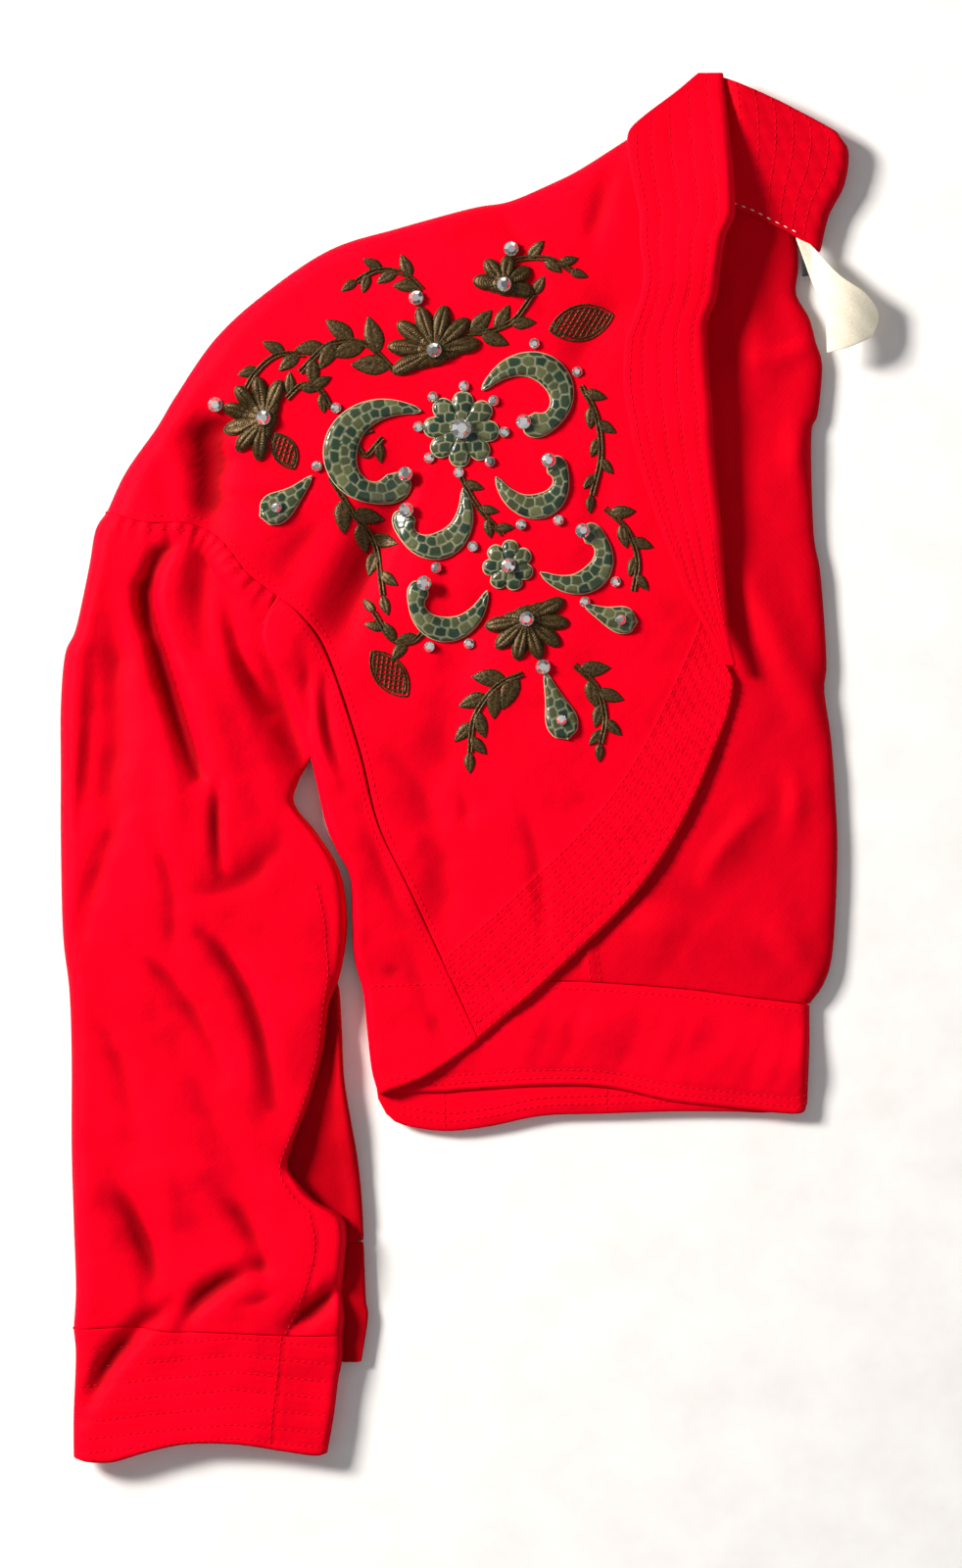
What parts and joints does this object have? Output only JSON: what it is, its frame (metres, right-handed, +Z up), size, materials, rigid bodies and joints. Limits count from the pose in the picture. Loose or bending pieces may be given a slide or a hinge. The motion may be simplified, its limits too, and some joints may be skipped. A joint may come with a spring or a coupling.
{
  "type": "cropped jacket",
  "caption": "Cropped jacket of cotton sateen lying folded in half at its centre back, with a channel-stitched collar and raised leather and thread motifs on its front.",
  "frame": {"origin": "middle of the laid garment's bounding box in x and y, on the surface it lies on", "axes": "+X from the sleeve's outer fold towards the back's centre fold, +Y from the cuff towards the collar, +Z up from the surface"},
  "size_m": [0.3756, 0.6368, 0.0279],
  "materials": {
    "red_sateen": "satin weave with a soft sheen",
    "embossed_leather": "embossed and glazed, green to olive",
    "bronze_thread": "metallic thread, satin stitched",
    "clear_stone": "faceted and clear, in a bright metal setting",
    "cream_satin": "satin ribbon, blank",
    "black_tape": "matt woven tape, blank",
    "sewing_thread": "spun thread"
  },
  "bodies": {
    "root": {"applique_drop_collar": "embossed_leather", "applique_drop_low": "embossed_leather", "applique_drop_shoulder": "embossed_leather", "applique_palmette_low": "bronze_thread", "applique_palmette_neck": "bronze_thread", "applique_palmette_shoulder": "bronze_thread", "applique_palmette_top": "bronze_thread", "applique_rosette_low": "embossed_leather", "applique_rosette_middle": "embossed_leather", "applique_scroll_foot_left": "embossed_leather", "applique_scroll_foot_right": "embossed_leather", "applique_scroll_middle_left": "embossed_leather", "applique_scroll_middle_right": "embossed_leather", "applique_scroll_upper_left": "embossed_leather", "applique_scroll_upper_right": "embossed_leather", "back_inside": "red_sateen", "care_label": "cream_satin", "collar_back": "red_sateen", "collar_front": "red_sateen", "collar_stand": "red_sateen", "cuff": "red_sateen", "far_cuff": "red_sateen", "far_half_body": "red_sateen", "far_sleeve": "red_sateen", "front_panel": "red_sateen", "hem_band": "red_sateen", "neck_label": "black_tape", "side_panel": "red_sateen", "sleeve": "red_sateen", "sleeve_layers": "red_sateen"}
  },
  "joints": []
}
